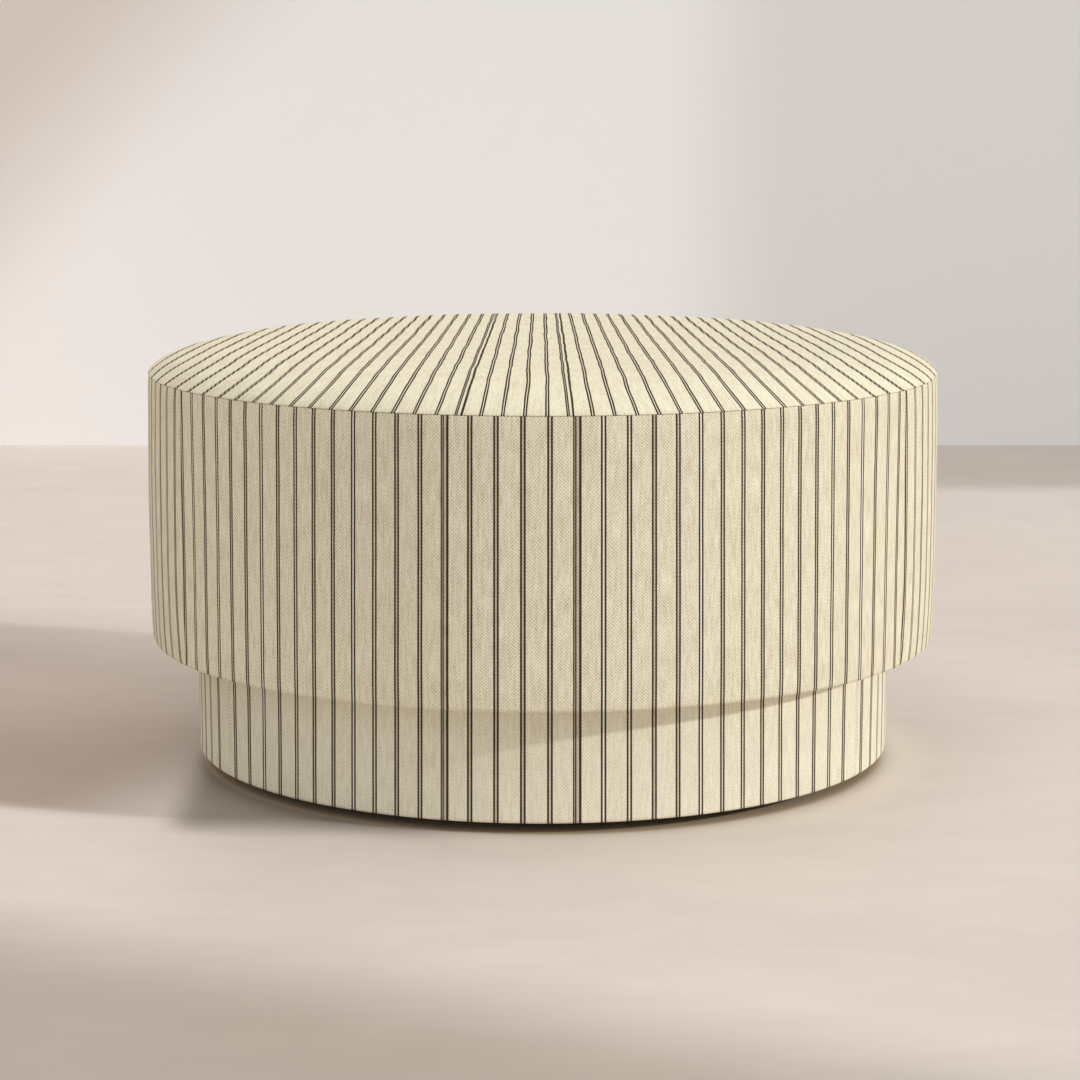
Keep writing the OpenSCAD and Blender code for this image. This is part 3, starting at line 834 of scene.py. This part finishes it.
# Top cover: a disc of the ticking drawn over the crowned seat and sewn to the side covers. Its
# stripes spread from back to front and over the shoulder, where the cloth was pulled down; that
# pull lets go round the sides, and at the back the stripes run straight over the shoulder.
top_line = inwards(crown_flat_r, crown_z, 14)[::-1] \
    + crown(edge_r, seam_z + 0.0008, crown_z, 44)[::-1] \
    + [(edge_r - 0.0002, seam_z + 0.0004), (edge_r - 0.0007, seam_z + 0.00015),
       (edge_r - 0.0014, seam_z + 0.00005)]
shape = turned(top_line, steps=720)
layer = shape.loops.layers.uv.new("weave")
places = {}
for vert in shape.verts:
    x, y, z = vert.co
    r = math.hypot(x, y)
    round_back = min(max(y / max(r, 0.01) + let_go_from, 0) / let_go_over, 1)
    let_go = let_go_rate * round_back ** 2 * (3 - 2 * round_back)
    pulled = (crown_z - z) / math.hypot(1, (crown_z - z) * let_go)
    spread = 1 - y / spread_back + spread_down * pulled
    places[vert] = ((top_rate * x / spread - top_first) / top_step, y + top_length)
    swell = swell_at(vert.co) + unevenness(vert.co, uneven_depth, 0.10) - uneven_depth
    vert.co.z += swell * min((z - seam_z) / 0.02, 1)
    if r > pucker_inner_r:
        draw = pucker(vert.co, math.degrees(math.atan2(y, x)), z - seam_z)
        vert.co.x += draw * x / r
        vert.co.y += draw * y / r
for face in shape.faces:
    for loop in face.loops:
        loop[layer].uv = places[loop.vert]
top_area = sum(face.calc_area() for face in shape.faces)
top = built(shape, "top_cover", ticking.material)
thickened(top, cloth_thick)
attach(top, "frame")
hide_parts("top_cover")


# Dust cover: a disc of thin black non-woven cloth, stapled under the plinth to hide its frame,
# with a cut-out round each levelling foot. Its edge dips in a little at each staple.
staple_count = 36
dust_hole_r = 0.013
foot_circle_r = 0.328
dust_scallop = 0.0012
dust_low, dust_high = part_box("dust_cover")

cambric = Finish("black_cambric", Roughness=0.93)
spot = cambric.place()
mat = spot.speckle(260, 5, roughness=0.75)
dimple = (spot.axes()[0] / 0.0016).wave() * (spot.axes()[1] / 0.0016).wave()
cambric.feed("Base Color", mixed(mat, tint("121214"), tint("29292c")))
cambric.relief(mat + dimple * 0.3, 0.0003)

shape = bmesh.new()
rim = bmesh.ops.create_circle(shape, radius=dust_high.x, segments=720)["verts"]
for vert in rim:
    turn = math.atan2(vert.co.y, vert.co.x)
    vert.co *= 1 - dust_scallop / dust_high.x * (0.5 + 0.5 * math.cos(staple_count * turn))
for foot in range(6):
    ring = bmesh.ops.create_circle(shape, radius=dust_hole_r, segments=48)["verts"]
    a = math.radians(60 * foot - 90)
    bmesh.ops.translate(shape, verts=ring, vec=(foot_circle_r * math.cos(a),
                                                foot_circle_r * math.sin(a), 0))
bmesh.ops.triangle_fill(shape, use_beauty=True, use_dissolve=False, edges=shape.edges[:])
bmesh.ops.translate(shape, verts=shape.verts, vec=(0, 0, dust_low.z))
if shape.faces[:][0].normal.z > 0:
    bmesh.ops.reverse_faces(shape, faces=shape.faces)
dust_area = sum(face.calc_area() for face in shape.faces)
dust = built(shape, "dust_cover", cambric.material)
thickened(dust, dust_high.z - dust_low.z)
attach(dust, "frame")
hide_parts("dust_cover")
